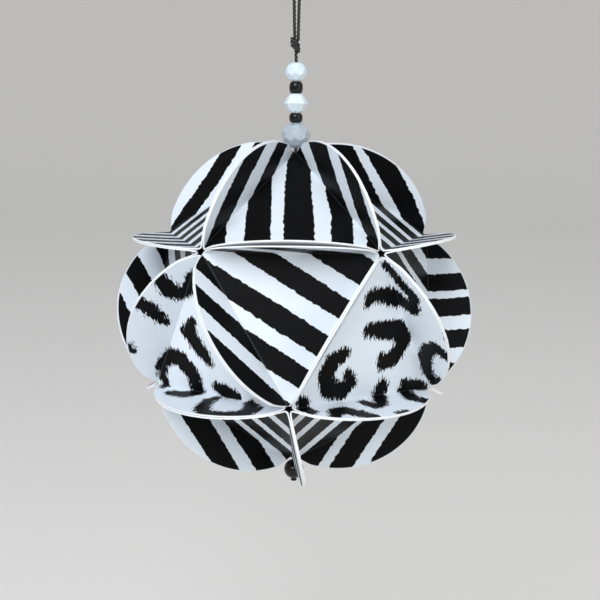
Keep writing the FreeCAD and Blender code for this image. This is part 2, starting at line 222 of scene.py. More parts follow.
@dataclass(frozen=True)
class PrintedCard:
    """Coated card stock, offset printed in black: a cool, nearly white sheet with soft sheen.

    The ink lies a little smoother than the card and mirrors less, so wide black areas stay deep.
    """

    name: str
    ragged_mm: float
    fur_mm: float = 0.0
    ragged_scale: float = 34.0
    # hairs are about 0.4 mm wide and 3 mm long, and lie up and down the circle
    hair_scale: tuple[float, float, float] = (145.0, 20.0, 1.0)
    edge_blur_mm: float = 0.07
    bare_rim_mm: float = 0.16
    rim_blur_mm: float = 0.06
    score_mm: float = 0.36
    paper: tuple[str, str] = ("e6eef5", "dce6ef")
    ink: tuple[str, str] = ("050506", "0c0c0d")
    # grey of the score lines: paler cracked ink on the black, painted shade of the groove on the bare card
    score_crack_and_shade: str = "666b72"
    # of the bare card and of the ink
    roughness: tuple[float, float] = (0.5, 0.42)
    specular: tuple[float, float] = (0.3, 0.08)

    def build(self) -> bpy.types.Material:
        """Make the material. It reads the ink, crease and rim attributes and the flat UV map.

        Returns:
            The material.
        """
        material, shader = new_material(self.name)
        flat = {"Vector": add_node(material, "UVMap", {"uv_map": "flat"}).outputs["UV"]}
        depth, crease, rim = (
            add_node(material, "Attribute", {"attribute_name": name}).outputs["Fac"]
            for name in ("ink", "crease", "rim")
        )
        ragged = {"Scale": self.ragged_scale, "Detail": 4.0, "Roughness": 0.62}
        noise = add_node(material, "TexNoise", ragged, flat).outputs["Fac"]
        shift = {"operation": "MULTIPLY_ADD", 1: 2 * self.ragged_mm, 2: -self.ragged_mm}
        noise = add_node(material, "Math", shift, {0: noise}).outputs[0]
        depth = add_node(material, "Math", {"operation": "ADD"}, {0: depth, 1: noise}).outputs[0]
        if self.fur_mm:
            hairs = add_node(material, "Mapping", {"Scale": self.hair_scale}, flat).outputs["Vector"]
            comb = {"Scale": 1.0, "Detail": 2.0, "Roughness": 0.7}
            noise = add_node(material, "TexNoise", comb, {"Vector": hairs}).outputs["Fac"]
            shift = {"operation": "MULTIPLY_ADD", 1: 4.4 * self.fur_mm, 2: -2.03 * self.fur_mm}
            noise = add_node(material, "Math", shift, {0: noise}).outputs[0]
            depth = add_node(material, "Math", {"operation": "ADD"}, {0: depth, 1: noise}).outputs[0]
        # the punch bruises the print away in a fine even line along the rim
        shares = []
        bounds = ((0.0, self.edge_blur_mm, depth), (self.bare_rim_mm, self.rim_blur_mm, rim))
        for edge, blur, value in bounds:
            ends = {"From Min": edge - blur, "From Max": edge + blur}
            shares.append(add_node(material, "MapRange", ends, {"Value": value}).outputs["Result"])
        times = {"operation": "MULTIPLY"}
        inked = add_node(material, "Math", times, {0: shares[0], 1: shares[1]}).outputs[0]
        mottle = add_node(material, "TexNoise", {"Scale": 7.0, "Detail": 4.0}, flat).outputs["Fac"]
        tones = []
        for low, high in (self.paper, self.ink):
            ends = {"data_type": "RGBA", 6: linear(low), 7: linear(high)}
            tones.append(add_node(material, "Mix", ends, {0: mottle}).outputs[2])
        # the scoring tool leaves two fine lines, one at each side of the fold: on the ink the grey stands for
        # cracks that show paler, and on the bare card the same grey is painted shade in the scored groove
        shift = {"operation": "SUBTRACT", 1: self.score_mm}
        off_line = add_node(material, "Math", shift, {0: crease}).outputs[0]
        off_line = add_node(material, "Math", {"operation": "ABSOLUTE"}, {0: off_line}).outputs[0]
        ends = {"From Min": 0.03, "From Max": 0.13, "To Min": 0.45, "To Max": 0.0}
        crack_and_shade_line = add_node(material, "MapRange", ends, {"Value": off_line}).outputs["Result"]
        mix = {"data_type": "RGBA"}
        printed = add_node(material, "Mix", mix, {0: inked, 6: tones[0], 7: tones[1]}).outputs[2]
        # the score grey lightens the ink and paints shade along the fold on the bare card
        mix[7] = linear(self.score_crack_and_shade)
        scored_and_shaded = add_node(material, "Mix", mix, {0: crack_and_shade_line, 6: printed}).outputs[2]
        link(material, scored_and_shaded, shader, "Base Color")
        for name, ends in (("Roughness", self.roughness), ("Specular IOR Level", self.specular)):
            ends = {"To Min": ends[0], "To Max": ends[1]}
            share = add_node(material, "MapRange", ends, {"Value": inked})
            link(material, share.outputs["Result"], shader, name)
        fibre = add_node(material, "TexNoise", {"Scale": 240.0, "Detail": 2.0}, flat).outputs["Fac"]
        bump = add_node(material, "Bump", {"Strength": 0.12, "Distance": 0.00005}, {"Height": fibre})
        link(material, bump.outputs["Normal"], shader, "Normal")
        return material


@dataclass(frozen=True)
class PlainCard:
    """Uncoated card: the bare back of the sheet or the punched core at its edge."""

    name: str
    colours: tuple[str, str]
    roughness: float = 0.75

    def build(self) -> bpy.types.Material:
        """Make the material.

        Returns:
            The material, a faintly fibrous white.
        """
        material, shader = new_material(self.name)
        grain(material, shader, 900.0, 3.0, self.colours, relief=(0.2, 0.00003))
        shader.inputs["Roughness"].default_value = self.roughness
        return material


@dataclass(frozen=True)
class FrostedResin:
    """Moulded acrylic resin with a frosted bloom: milky all through, with satin facets."""

    name: str
    colours: tuple[str, str]
    roughness: tuple[float, float] = (0.18, 0.43)

    def build(self) -> bpy.types.Material:
        """Make the material.

        Returns:
            The material, cloudy at the scale of a few millimetres.
        """
        material, shader = new_material(self.name)
        grain(material, shader, 320.0, 3.0, self.colours, gloss=self.roughness, distortion=0.6)
        shader.inputs["IOR"].default_value = 1.49
        shader.inputs["Coat Weight"].default_value = 0.35
        shader.inputs["Coat Roughness"].default_value = 0.12
        return material


@dataclass(frozen=True)
class PolishedGlass:
    """Opaque black pressed glass: a near-black body under a bright, hard reflection."""

    name: str = "opaque_black_pressed_glass"
    colours: tuple[str, str] = ("050506", "0b0b0d")
    roughness: tuple[float, float] = (0.05, 0.16)

    def build(self) -> bpy.types.Material:
        """Make the material.

        Returns:
            The material, with faint handling marks in its gloss.
        """
        material, shader = new_material(self.name)
        grain(material, shader, 700.0, 2.0, self.colours, gloss=self.roughness)
        shader.inputs["IOR"].default_value = 1.52
        shader.inputs["Specular IOR Level"].default_value = 0.3
        return material


@dataclass(frozen=True)
class WaxedCord:
    """Plied and lightly waxed black cotton: dark yarns with a soft highlight along each ply."""

    name: str = "plied_waxed_cotton"
    colours: tuple[str, str] = ("09090a", "161618")

    def build(self) -> bpy.types.Material:
        """Make the material.

        Returns:
            The material, with fibres too fine to show drawn about 0.1 mm wide.
        """
        material, shader = new_material(self.name)
        grain(material, shader, 9000.0, 2.0, self.colours, relief=(0.35, 0.00004))
        shader.inputs["Roughness"].default_value = 0.3
        shader.inputs["Specular IOR Level"].default_value = 0.7
        return material


class Print(Enum):
    """The two printed papers that the circles are punched from."""

    ZEBRA = "zebra"
    LEOPARD = "leopard"


# Black stripes of the zebra circles that the photograph shows, chain by chain.
CROWN_FRONT = (
    ((-20.3, 28, 3.5), (-21.5, 12, 3.4), (-21.6, 0, 3.4), (-20.9, -10, 3.0), (-20.4, -28, 3.0)),
    ((-9.5, 30, 2.7), (-9.4, 12, 3.1), (-9.4, 0, 3.5), (-9.2, -12, 3.6), (-9.0, -30, 3.6)),
    ((1.2, 31, 3.4), (1.2, 12, 3.7), (1.7, 0, 4.2), (2.1, -10, 4.2), (2.5, -31, 4.2)),
    ((15.6, 28, 5.3), (13.9, 18, 4.6), (13.1, 11, 4.1), (13.7, 0, 3.0), (14.2, -28, 3.1)),
    ((27.5, 24, 2.8), (25.9, 12, 3.1), (23.7, 0, 2.95), (23.2, -10, 2.7), (23.0, -26, 2.8)),
)
CROWN_LEFT = (
    ((-20.6, 28, 2.7), (-20.8, 8, 2.7), (-22.2, -8, 2.6), (-23.0, -26, 2.6)),
    ((-11.0, 30, 3.0), (-11.5, 8, 2.8), (-12.8, -8, 2.8), (-13.4, -30, 2.8)),
    ((-2.2, 31, 2.6), (-2.8, 6, 2.6), (-3.1, -8, 2.6), (-3.4, -31, 2.6)),
    ((6.8, 31, 2.8), (6.2, 6, 2.8), (5.7, -8, 2.6), (5.4, -31, 2.6)),
    ((15.8, 30, 3.0), (15.2, 4, 3.0), (14.8, -30, 2.9)),
    ((24.8, 26, 2.8), (24.2, 4, 2.8), (23.9, -24, 2.8)),
)
CROWN_RIGHT = (
    ((-28.6, 12, 2.4), (-28.8, -12, 2.4)),
    ((-19.2, 26, 3.2), (-19.2, 0, 3.3), (-19.0, -12, 3.4), (-19.2, -26, 3.4)),
    ((-8.4, 30, 2.8), (-8.4, -10, 2.8), (-8.6, -30, 2.8)),
    ((1.4, 31, 3.1), (1.3, -10, 3.1), (1.2, -31, 3.1)),
    ((12.8, 30, 3.4), (13.2, 12, 3.5), (13.2, 0, 3.5), (11.9, -10, 3.7), (11.6, -30, 3.7)),
    ((21.0, 26, 3.2), (22.4, 18, 3.2), (23.5, 0, 3.1), (23.2, -12, 2.7), (23.0, -24, 2.7)),
)
SHOULDER_FRONT = (
    ((-0.1, 30.3, 3.2), (13.5, 21.8, 3.3), (27.1, 13.4, 3.2)),
    ((-14.2, 26.4, 2.8), (7.8, 12.7, 3.0), (29.9, -1.0, 2.6)),
    ((-21.3, 18.8, 3.1), (2.5, 4.0, 3.2), (26.3, -10.8, 2.7)),
    ((-27.3, 9.2, 2.8), (-3.5, -5.6, 3.0), (20.3, -20.4, 2.9)),
    ((-28.3, -3.8, 3.7), (-9.6, -15.4, 3.9), (9.1, -27.0, 3.6)),
)
SHOULDER_LEFT = (
    ((-6, 32, 3.0), (8, 25.2, 3.1), (19.4, 18.9, 3.2), (30, 13, 3.0)),
    ((-18, 25.6, 2.8), (2, 15.2, 2.8), (24.4, 3.7, 3.1), (32, 0, 3.1)),
    ((-21.6, 18.3, 2.6), (2.2, 3.6, 2.6), (24.3, -10.1, 2.7)),
    ((-28, 8.8, 2.6), (0, -8.6, 2.6), (20, -21.0, 2.6)),
    ((-30, -1.4, 2.6), (0, -19.9, 2.6), (12, -27.3, 2.6)),
    ((-28, -13.6, 2.5), (-14, -22.3, 2.5)),
)
SHOULDER_RIGHT = (
    ((6, 29.5, 2.6), (18, 21.5, 2.7), (30, 13, 2.6)),
    ((-10, 28.5, 2.8), (10, 16.1, 2.9), (30, 2.9, 2.8)),
    ((-24, 23.9, 2.9), (-14, 19.1, 2.9), (0, 10.5, 2.9), (14, 0.7, 2.8), (30, -10.7, 2.7)),
    ((-32, 15.9, 2.8), (-18.1, 9.8, 3.0), (-8, 4.4, 2.9), (2, -2.3, 2.9), (26, -19.1, 2.8)),
    ((-32, 7.1, 2.8), (-18.8, 1.0, 2.9), (-1.3, -10.1, 3.0), (20, -25.1, 2.9)),
    ((-32, -4.1, 2.6), (-21.3, -10.0, 2.6), (-10, -17.5, 2.6), (8, -30.5, 2.6)),
    ((-28, -16.9, 2.5), (-16, -25.9, 2.5)),
)
FOOT_LEFT = (
    ((-20.0, 20, 3.3), (-20.1, -22, 3.4)),
    ((-10.0, 28, 3.1), (-10.0, 0, 3.2), (-10.2, -30, 3.2)),
    ((-0.4, 31, 3.1), (-0.2, 0, 3.3), (-0.3, -31, 3.3)),
    ((10.2, 30, 3.0), (9.9, 6, 3.25), (9.7, -30, 3.3)),
    ((20.9, 22, 3.2), (20.6, 6, 3.6), (20.3, -26, 3.6)),
)
FOOT_RIGHT = (
    ((-25.6, 16, 3.5), (-25.4, -16, 3.5)),
    ((-15.0, 28, 3.3), (-15.0, 0, 3.4), (-15.1, -28, 3.4)),
    ((-4.9, 31, 3.4), (-5.4, 0, 3.4), (-5.2, -31, 3.4)),
    ((5.2, 31, 3.1), (5.2, 0, 3.5), (5.4, -31, 3.4)),
    ((14.1, 28, 2.3), (14.1, -28, 2.4)),
    ((24.2, 20, 4.4), (24.2, -20, 4.4)),
)
# Zebra marks for the circles that the photograph hides.
HIDDEN_ZEBRA = (
    ((-25.6, 18, 2.6), (-25.0, 0, 2.9), (-25.4, -18, 2.7)),
    ((-15.0, 28, 2.8), (-15.6, 6, 3.2), (-15.0, -28, 2.9)),
    ((-5.2, 31, 3.0), (-4.6, 4, 3.3), (-5.4, -31, 3.0)),
    ((5.8, 31, 2.7), (5.4, 0, 3.0), (6.2, -31, 3.2)),
    ((15.4, 29, 3.3), (16.2, 2, 2.9), (15.6, -29, 3.0)),
    ((25.8, 18, 2.8), (25.6, -18, 3.0)),
)
# Rosettes and spots of the two leopard circles that the photograph shows.
BELLY_LEFT = (
    ((-21.6, 21.6, 1.7), (-18.6, 16.6, 1.9), (-16.6, 11.2, 1.7), (-15.6, 8.6, 1.1)),
    ((-12.8, 25.6, 1.9), (-11.3, 19.4, 2.2), (-9.0, 16.6, 2.3), (-6.2, 17.2, 2.2), (-4.4, 21.4, 1.5)),
    ((-27.4, 5.2, 0.9), (-27.2, 2.6, 0.9)),
    ((-6.2, 7.4, 1.5), (-8.6, 4.2, 2.3), (-6.2, 1.4, 2.4), (-3.4, -1.8, 2.0), (-1.4, -4.4, 1.0)),
    ((-20.2, -16.0, 1.1), (-21.6, -10.6, 1.8), (-20.6, -6.4, 2.2), (-16.9, -4.0, 2.5), (-12.5, -5.0, 2.7),
     (-8.9, -8.8, 2.6), (-7.7, -14.4, 2.5), (-9.6, -18.0, 2.2), (-14.4, -18.8, 1.9)),
    ((-0.2, -11.4, 1.6), (3.1, -12.2, 2.4), (6.8, -13.0, 1.5)),
    ((0.6, -16.0, 1.2), (-0.1, -19.2, 1.9), (1.8, -23.8, 2.2), (5.2, -26.6, 2.3), (10.5, -26.0, 2.3),
     (15.3, -22.0, 2.6), (15.4, -18.2, 2.6), (12.2, -15.0, 1.8)),
    ((7.0, 3.4, 1.6), (10.4, 0.6, 2.2), (13.6, -3.8, 1.8)),
    ((14.6, 13.4, 1.6), (17.6, 9.0, 2.2), (17.2, 3.6, 1.8)),
    ((23.4, 10.8, 1.4), (25.6, 4.2, 1.9), (23.0, -2.6, 1.9), (20.2, -6.0, 1.4)),
)
BELLY_RIGHT = (
    ((1.7, 25.5, 1.7), (7.2, 22.9, 1.9), (12.6, 20.9, 1.8), (13.6, 17.2, 2.0), (12.8, 15.4, 2.2)),
    ((-3.2, 13.6, 0.9), (-2.2, 16.6, 1.7), (2.4, 16.4, 2.2), (7.4, 15.2, 2.6), (12.6, 15.6, 2.2)),
    ((-1.0, 6.5, 2.1), (3.8, 6.0, 2.7), (8.8, 5.6, 3.0), (11.8, 2.8, 2.7), (10.6, -0.8, 2.5),
     (8.2, -3.2, 2.5),
     (5.4, -4.0, 2.2), (4.7, -1.9, 1.3)),
    ((-8.9, 0.5, 2.0), (-12.8, -1.8, 2.6), (-14.0, -6.0, 2.5), (-12.2, -9.9, 2.6), (-7.9, -10.6, 2.6),
     (-5.2, -8.2, 2.0), (-6.6, -5.6, 1.3)),
    ((6.2, -11.0, 2.1), (5.0, -15.6, 2.2), (2.2, -20.2, 1.9), (-0.7, -20.9, 1.6), (-1.9, -17.4, 1.5)),
    ((16.0, -12.2, 2.0), (19.2, -13.0, 2.2), (22.4, -14.6, 1.9)),
    ((14.8, -11.8, 1.9), (14.6, -16.0, 2.1), (13.6, -20.0, 2.2), (16.0, -23.4, 2.0)),
    ((27.0, 6.8, 1.7), (23.6, 7.2, 2.0), (21.3, 3.2, 2.2), (21.0, -2.0, 2.4), (22.8, -7.0, 2.4),
     (25.8, -9.2, 2.0),
     (27.4, -6.0, 1.3)),
    ((-16.0, -23.2, 1.4), (-13.6, -20.4, 2.2), (-10.4, -20.2, 2.4), (-8.0, -23.6, 2.4), (-6.2, -27.0, 2.0)),
    ((-20.8, -12.4, 2.0), (-20.0, -17.4, 2.0)),
    ((25.0, 17.4, 0.8), (25.6, 14.4, 1.0)),
    ((5.4, -27.6, 1.0), (2.6, -27.4, 1.0)),
    ((-16.4, 10.6, 1.4), (-20.2, 6.2, 2.0), (-19.4, 1.4, 1.5)),
    ((-9.0, 19.6, 1.4), (-12.6, 15.4, 1.8)),
)


@dataclass(frozen=True)
class CirclePrint:
    """What one circle shows: its paper, its marks and how they are turned and mirrored."""

    paper: Print
    marks: tuple[Mark, ...]
    turn_deg: float = 0.0
    mirror: bool = False

    def placed(self) -> list[np.ndarray]:
        """Turn and mirror the marks.

        Returns:
            One array of (x, y, half width) rows for each mark.
        """
        c, s = math.cos(math.radians(self.turn_deg)), math.sin(math.radians(self.turn_deg))
        out = []
        for mark in self.marks:
            chain = np.array(mark, dtype=float)
            if self.mirror:
                chain[:, 0] *= -1
            x, y = chain[:, 0].copy(), chain[:, 1].copy()
            chain[:, 0], chain[:, 1] = c * x - s * y, s * x + c * y
            out.append(chain)
        return out

    def ink(self, flat: np.ndarray) -> np.ndarray:
        """Measure how deep each point of the flat circle lies inside a mark.

        Args:
            flat: points of the circle, in millimetres.

        Returns:
            The depth in millimetres, negative outside the marks.
        """
        depth = np.full(len(flat), -20.0)
        for chain in self.placed():
            for start, end in zip(chain, chain[1:]):
                run = end[:2] - start[:2]
                share = np.clip(((flat - start[:2]) @ run) / (run @ run), 0.0, 1.0)
                near = start[:2] + share[:, None] * run
                width = start[2] + share * (end[2] - start[2])
                depth = np.maximum(depth, width - np.linalg.norm(flat - near, axis=1))
        return depth


PRINTS = {
    "crown_circle_1": CirclePrint(Print.ZEBRA, CROWN_RIGHT),
    "crown_circle_2": CirclePrint(Print.ZEBRA, HIDDEN_ZEBRA),
    "crown_circle_3": CirclePrint(Print.ZEBRA, HIDDEN_ZEBRA, 2.0, True),
    "crown_circle_4": CirclePrint(Print.ZEBRA, CROWN_LEFT),
    "crown_circle_5": CirclePrint(Print.ZEBRA, CROWN_FRONT),
    "shoulder_circle_1": CirclePrint(Print.ZEBRA, SHOULDER_RIGHT),
    "shoulder_circle_2": CirclePrint(Print.ZEBRA, HIDDEN_ZEBRA, 62.0),
    "shoulder_circle_3": CirclePrint(Print.ZEBRA, HIDDEN_ZEBRA, 118.0, True),
    "shoulder_circle_4": CirclePrint(Print.ZEBRA, SHOULDER_LEFT),
    "shoulder_circle_5": CirclePrint(Print.ZEBRA, SHOULDER_FRONT),
    "belly_circle_1": CirclePrint(Print.LEOPARD, BELLY_RIGHT),
    "belly_circle_2": CirclePrint(Print.LEOPARD, BELLY_LEFT, 120.0),
    "belly_circle_3": CirclePrint(Print.LEOPARD, BELLY_RIGHT, 240.0),
    "belly_circle_4": CirclePrint(Print.LEOPARD, BELLY_RIGHT, 120.0, True),
    "belly_circle_5": CirclePrint(Print.LEOPARD, BELLY_LEFT),
    "foot_circle_1": CirclePrint(Print.ZEBRA, FOOT_RIGHT),
    "foot_circle_2": CirclePrint(Print.ZEBRA, HIDDEN_ZEBRA, 3.0),
    "foot_circle_3": CirclePrint(Print.ZEBRA, HIDDEN_ZEBRA, -2.0, True),
    "foot_circle_4": CirclePrint(Print.ZEBRA, FOOT_RIGHT, 180.0),
    "foot_circle_5": CirclePrint(Print.ZEBRA, FOOT_LEFT),
}


@dataclass
class Fin:
    """Two flaps glued back to back along one edge of the icosahedron.

    Its reach is its height as a share of an even one, because no crease made by hand lies
    quite on the line.
    """

    lean_deg: float
    bow_mm: float
    gape_mm: float = 0.0
    reach: float = 1.0


# Fins whose outline in the photograph lies inside an even one.
FIN_REACHES = {
    ("T", "U3"): 0.93,
    ("T", "U1"): 0.95,
    ("U1", "L1"): 0.92,
    ("U3", "L4"): 0.97,
    ("L4", "B"): 0.91,
    ("L1", "B"): 0.88,
}


@dataclass
class Ball:
    """The ball of folded circles: its vertices, its fins and its twenty pieces of card."""

    centre: Vector
    circle_radius: float = PUNCH_RADIUS
    thickness: float = 0.4
    bend_radius: float = 0.15
    grid_cells: int = 74
    rim_chords: int = 96
    vertex_nip: float = 0.75
    corner_ease: float = 0.5
    corner_reach: float = 2.4
    crown_leans: tuple[float, ...] = (14, 24, 10, 15, -16)
    shoulder_leans: tuple[float, ...] = (22, 16, 12, 29, 15)
    right_belt_leans: tuple[float, ...] = (23, -2, 6, -8, 9)
    left_belt_leans: tuple[float, ...] = (14, 5, -7, -19, 15)
    hem_leans: tuple[float, ...] = (-22, -3, -12, -5, -22)
    foot_leans: tuple[float, ...] = (-14, -12, 6, -8, -15)
    vertices: dict[str, np.ndarray] = field(default_factory=dict)
    fins: dict[tuple[str, str], Fin] = field(default_factory=dict)
    faces: dict[str, tuple[str, str, str]] = field(default_factory=dict)

    def __post_init__(self) -> None:
        """Lay out the vertices, the fins and the faces."""
        self.draw = random.Random(7)
        self.radius = 2 * self.circle_radius * math.sqrt(3 * GOLDEN * math.sqrt(5)) / 4
        self.inradius = 2 * self.circle_radius * GOLDEN**2 / 4
        self.flap_height = self.circle_radius / 2
        self.half_dihedral = math.acos(-math.sqrt(5) / 3) / 2
        self.vertices = {"T": np.array([0, 0, self.radius]), "B": np.array([0, 0, -self.radius])}
        for k in range(5):
            for ring, turn, side in (("U", 36, 1), ("L", 0, -1)):
                angle = math.radians(turn + 72 * k)
                point = (2 * math.sin(angle), -2 * math.cos(angle), side)
                self.vertices[f"{ring}{k}"] = np.array(point) * self.radius / math.sqrt(5)
        for k in range(5):
            after = (k + 1) % 5
            edges = {
                ("T", f"U{k}"): self.crown_leans[k],
                (f"U{k}", f"U{after}"): self.shoulder_leans[k],
                (f"U{k}", f"L{k}"): self.right_belt_leans[k],
                (f"U{k}", f"L{after}"): self.left_belt_leans[k],
                (f"L{k}", f"L{after}"): self.hem_leans[k],
                (f"L{k}", "B"): self.foot_leans[k],
            }
            for edge, lean in edges.items():
                self.fins[edge] = Fin(lean, self.draw.uniform(-0.5, 0.5), self.draw.uniform(0.0, 0.12))
            self.faces[f"crown_circle_{k + 1}"] = ("T", f"U{k}", f"U{after}")
            self.faces[f"shoulder_circle_{k + 1}"] = (f"L{after}", f"U{after}", f"U{k}")
            self.faces[f"belly_circle_{k + 1}"] = (f"U{k}", f"L{k}", f"L{after}")
            self.faces[f"foot_circle_{k + 1}"] = ("B", f"L{after}", f"L{k}")
        self.fins[("U4", "U0")].gape_mm = 0.55
        for edge, reach in FIN_REACHES.items():
            self.fins[edge].reach = reach

    def punch(self) -> bpy.types.Object:
        """Model the flat punched circle once: a fine grid cut to the punch's outline.

        Returns:
            The flat circle, with edges along its three creases.
        """
        deselect()
        size, cells = (2 * self.circle_radius + 1.0) * MM, self.grid_cells
        bpy.ops.mesh.primitive_grid_add(x_subdivisions=cells, y_subdivisions=cells, size=size)
        master = bpy.context.object
        master.name = "punched_circle"
        bpy.ops.object.mode_set(mode="EDIT")
        chord_reach = self.circle_radius * math.cos(math.pi / self.rim_chords)
        cuts = [(2 * math.pi * k / self.rim_chords, chord_reach, True) for k in range(self.rim_chords)]
        for k in range(3):
            cuts.append((math.radians(90 + 120 * k), self.circle_radius - self.vertex_nip, True))
            for shift in (-0.45, -0.15, 0.0, 0.15, 0.45):
                cuts.append((math.radians(30 + 120 * k), self.flap_height + shift, False))
        for angle, reach, clear in cuts:
            outward = Vector((math.cos(angle), math.sin(angle), 0))
            bpy.ops.mesh.select_all(action="SELECT")
            bpy.ops.mesh.bisect(plane_co=outward * reach * MM, plane_no=outward, clear_outer=clear)
        bpy.ops.mesh.select_all(action="SELECT")
        bpy.ops.mesh.remove_doubles(threshold=0.02 * MM)
        bpy.ops.object.mode_set(mode="OBJECT")
        return master

    def fold_of(self, names: tuple[str, str, str], k: int) -> tuple[float, Fin, np.ndarray]:
        """Work out how far flap k of a face turns up.

        Args:
            names: the face's three vertices.
            k: the flap, between corners k and k + 1.

        Returns:
            The fold angle in radians, the fin and the unit direction that the fin leans towards.
        """
        start, end, opposite = names[k], names[(k + 1) % 3], names[(k + 2) % 3]
        first, second = (start, end) if (start, end) in self.fins else (end, start)
        fin = self.fins[(first, second)]
        outward = self.vertices[first] + self.vertices[second]
        side = np.cross(self.vertices[second] - self.vertices[first], outward)
        side /= np.linalg.norm(side)
        lean = math.radians(fin.lean_deg)
        away = outward / 2 - self.vertices[opposite]
        fold = self.half_dihedral - lean if side @ away > 0 else self.half_dihedral + lean
        return fold, fin, side

    def fold(self, label: str, flat: np.ndarray) -> np.ndarray:
        """Fold the flat circle on its creases and set it on its face of the icosahedron.

        Args:
            label: the circle's name.
            flat: its points in millimetres, corner 0 upwards.

        Returns:
            The printed side's points in millimetres, about the ball's centre.
        """
        names = self.faces[label]
        corners = [self.vertices[n] for n in names]
        normal = sum(corners) / np.linalg.norm(sum(corners))
        up = corners[0] - normal * (corners[0] @ normal)
        up /= np.linalg.norm(up)
        right = np.cross(up, normal)
        face = normal * (self.inradius + self.thickness) + flat[:, :1] * right + flat[:, 1:] * up
        out = face.copy()
        directions = [np.array([math.cos(a), math.sin(a)]) for a in np.radians([150, 270, 30])]
        reach = np.stack([flat @ d - self.flap_height for d in directions])
        nearest = reach.argmax(axis=0)
        for k, direction in enumerate(directions):
            fold, fin, side = self.fold_of(names, k)
            outward = direction[0] * right + direction[1] * up
            trim = (self.thickness + self.bend_radius) * math.tan(fold / 2)
            mine = (nearest == k) & (reach[k] > -trim)
            d = reach[k][mine]
            crease = normal * self.inradius + (flat[mine] - d[:, None] * direction) @ np.stack([right, up])
            phi = np.clip((d + trim) / (2 * trim), 0, 1) * fold
            bend_out = -trim + self.bend_radius * np.sin(phi)
            bend_up = self.thickness + self.bend_radius * (1 - np.cos(phi))
            height = np.where(d > trim, trim + (d - trim) * fin.reach * self.draw.uniform(0.985, 1.01), d)
            flap_out = height * math.cos(fold) - self.thickness * math.sin(fold)
            flap_up = height * math.sin(fold) + self.thickness * math.cos(fold)
            along_out = np.where(d > trim, flap_out, bend_out)[:, None]
            along_up = np.where(d > trim, flap_up, bend_up)[:, None]
            rise = np.clip(d / self.flap_height, 0, 1)
            cup_side = normal * math.cos(fold) - outward * math.sin(fold)
            leaning = side - (side @ (outward * math.cos(fold) + normal * math.sin(fold))) * outward
            leaning /= np.linalg.norm(leaning)
            bow = (fin.bow_mm * rise**2)[:, None] * np.sign(leaning @ cup_side) * cup_side
            gape = (fin.gape_mm * rise**1.5)[:, None] * cup_side
            out[mine] = crease + along_out * outward + along_up * normal + bow + gape
        for corner in corners:
            inward = normal * self.inradius - corner
            inward /= np.linalg.norm(inward)
            near = np.linalg.norm(out - corner, axis=1)
            out += (self.corner_ease * np.exp(-((near / self.corner_reach) ** 2)))[:, None] * inward
        return out

    def build(self, finishes: dict[str, bpy.types.Material]) -> list[bpy.types.Object]:
        """Fold, thicken and dress all twenty circles.

        Args:
            finishes: the materials, by name.

        Returns:
            The circles.
        """
        master = self.punch()
        count = len(master.data.vertices)
        flat = np.empty(count * 3)
        master.data.vertices.foreach_get("co", flat)
        flat = flat.reshape(-1, 3)[:, :2] / MM
        loops = np.empty(len(master.data.loops), dtype=int)
        master.data.loops.foreach_get("vertex_index", loops)
        uv = (flat / (2 * self.circle_radius) + 0.5)[loops]
        outward = np.radians([150, 270, 30])
        across = flat @ np.stack([np.cos(outward), np.sin(outward)])
        creases = np.abs(across - self.flap_height).min(axis=1)
        rims = self.circle_radius - np.linalg.norm(flat, axis=1)
        circles = []
        for label in self.faces:
            look = PRINTS[label]
            piece = bpy.data.objects.new(f"folded_{label}", master.data.copy())
            bpy.context.scene.collection.objects.link(piece)
            mesh = piece.data
            layer = mesh.uv_layers.new(name="flat")
            layer.data.foreach_set("uv", uv.ravel())
            for name, values in (("ink", look.ink(flat)), ("crease", creases), ("rim", rims)):
                mesh.attributes.new(name, "FLOAT", "POINT").data.foreach_set("value", values)
            points = self.fold(label, flat) * MM + np.array(self.centre)
            mesh.vertices.foreach_set("co", points.ravel())
            mesh.update()
            for finish in (look.paper.value, "back", "core"):
                mesh.materials.append(finishes[finish])
            apply_modifier(
                piece, "SOLIDIFY", thickness=self.thickness * MM, offset=-1,
                material_offset=1, material_offset_rim=2,
            )
            smooth(piece, 35)
            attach(piece, ROOT)
            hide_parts(label)
            circles.append(piece)
            LOG.info("%s: %d faces", piece.name, len(mesh.polygons))
        bpy.data.objects.remove(master)
        return circles


